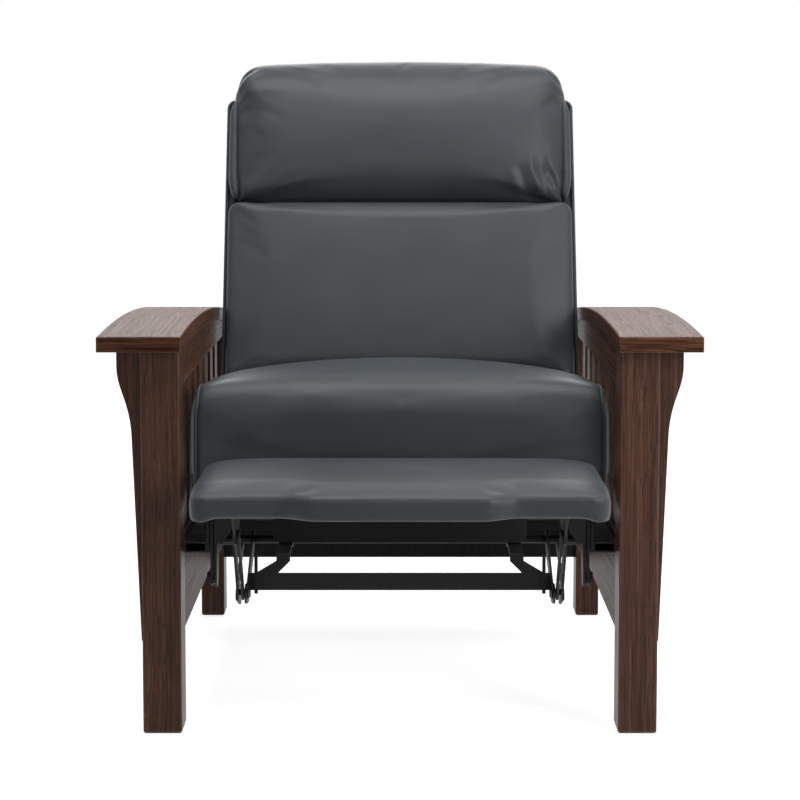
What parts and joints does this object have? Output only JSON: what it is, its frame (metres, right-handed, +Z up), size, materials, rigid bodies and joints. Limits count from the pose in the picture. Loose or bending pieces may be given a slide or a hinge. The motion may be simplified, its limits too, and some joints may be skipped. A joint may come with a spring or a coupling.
{
  "type": "mission reclining armchair",
  "caption": "Push-back reclining armchair with slatted wood sides, bowed flat arms, leather seat and back cushions and a folding footrest on scissor links.",
  "frame": {"origin": "centre of the bounding box, on the floor, with the footrest out and the back up", "axes": "+Z up, -Y the way the chair faces, +X to the right as seen from the front"},
  "size_m": [0.87, 1.0439, 0.9979],
  "materials": {
    "wood": "satin dark brown",
    "frame_wood": "raw sawn",
    "black_board": "black covered",
    "leather": "smooth satin",
    "steel": "black painted",
    "webbing": "woven",
    "glide_plastic": "matte"
  },
  "bodies": {
    "frame": {"arm_left": "wood", "arm_right": "wood", "front_leg_left": "wood", "front_leg_right": "wood", "back_leg_left": "wood", "back_leg_right": "wood", "slats_left": "wood", "slats_right": "wood", "lower_side_rail_left": "wood", "lower_side_rail_right": "wood", "upper_side_rail_left": "wood", "upper_side_rail_right": "wood", "corbel_left": "wood", "corbel_right": "wood", "rear_cross_rail": "black_board", "leg_glides": "glide_plastic", "base_rail_left": "steel", "base_rail_right": "steel", "base_cross_tubes": "steel"},
    "back": {"back_stile_left": "frame_wood", "back_stile_right": "frame_wood", "back_top_rail": "frame_wood", "back_lower_rail": "frame_wood", "back_bracket_left": "steel", "back_bracket_right": "steel", "back_webbing": "webbing", "back_wing_left": "leather", "back_wing_right": "leather", "outside_back": "leather", "lumbar_cushion": "leather", "head_pillow": "leather"},
    "front_swing": {"swing_links_front": "steel"},
    "rear_swing": {"swing_links_rear": "steel"},
    "seat": {"carriage_plate_left": "steel", "carriage_plate_right": "steel", "pivot_rod": "steel", "seat_side_rail_left": "black_board", "seat_side_rail_right": "black_board", "seat_front_rail": "black_board", "seat_rear_rail": "black_board", "seat_webbing": "webbing", "front_panel": "black_board", "seat_cushion": "leather"},
    "rear_links": {"rear_link_left": "steel", "rear_link_right": "steel", "crossbar": "steel"},
    "front_links": {"front_link_left": "steel", "front_link_right": "steel"},
    "footrest": {"footrest_bracket_left": "steel", "footrest_bracket_right": "steel", "footrest_board": "black_board", "footrest_cushion": "leather"},
    "seat_controls": {"seat_control_links": "steel"},
    "foot_controls": {"foot_control_links": "steel"}
  },
  "joints": [
    {"name": "recline", "type": "hinge", "parent": "frame", "child": "back", "pos_m": [0, 0.242, 0.428], "axis": [-1, 0, 0], "range_deg": [0, 28]},
    {"name": "front_swing_top", "type": "hinge", "parent": "frame", "child": "front_swing", "pos_m": [0, -0.183, 0.296], "axis": [-1, 0, 0], "range_deg": [0, 28]},
    {"name": "rear_swing_top", "type": "hinge", "parent": "frame", "child": "rear_swing", "pos_m": [0, 0.142, 0.296], "axis": [-1, 0, 0], "range_deg": [0, 28]},
    {"name": "rear_swing_bottom", "type": "hinge", "parent": "rear_swing", "child": "seat", "pos_m": [0, 0.142, 0.218], "axis": [-1, 0, 0], "range_deg": [-28, 0]},
    {"name": "footrest_fold", "type": "hinge", "parent": "seat", "child": "rear_links", "pos_m": [0, -0.15, 0.268], "axis": [1, 0, 0], "range_deg": [0, 90]},
    {"name": "knee", "type": "hinge", "parent": "rear_links", "child": "front_links", "pos_m": [0, -0.26601, 0.21391], "axis": [1, 0, 0], "range_deg": [-90, 0]},
    {"name": "toe", "type": "hinge", "parent": "front_links", "child": "footrest", "pos_m": [0, -0.338, 0.313], "axis": [1, 0, 0], "range_deg": [0, 90]},
    {"name": "seat_control_pivot", "type": "hinge", "parent": "seat", "child": "seat_controls", "pos_m": [0, -0.12369, 0.25842], "axis": [1, 0, 0], "range_deg": [0, 90]},
    {"name": "tail", "type": "hinge", "parent": "rear_links", "child": "foot_controls", "pos_m": [0, -0.29761, 0.21891], "axis": [1, 0, 0], "range_deg": [-90, 0]}
  ],
  "couplings": [
    {"joint": "front_swing_top", "follows": "recline", "ratio": 1},
    {"joint": "rear_swing_top", "follows": "recline", "ratio": 1},
    {"joint": "rear_swing_bottom", "follows": "recline", "ratio": -1},
    {"joint": "knee", "follows": "footrest_fold", "ratio": -1},
    {"joint": "toe", "follows": "footrest_fold", "ratio": 1},
    {"joint": "seat_control_pivot", "follows": "footrest_fold", "ratio": 1},
    {"joint": "tail", "follows": "footrest_fold", "ratio": -1}
  ]
}
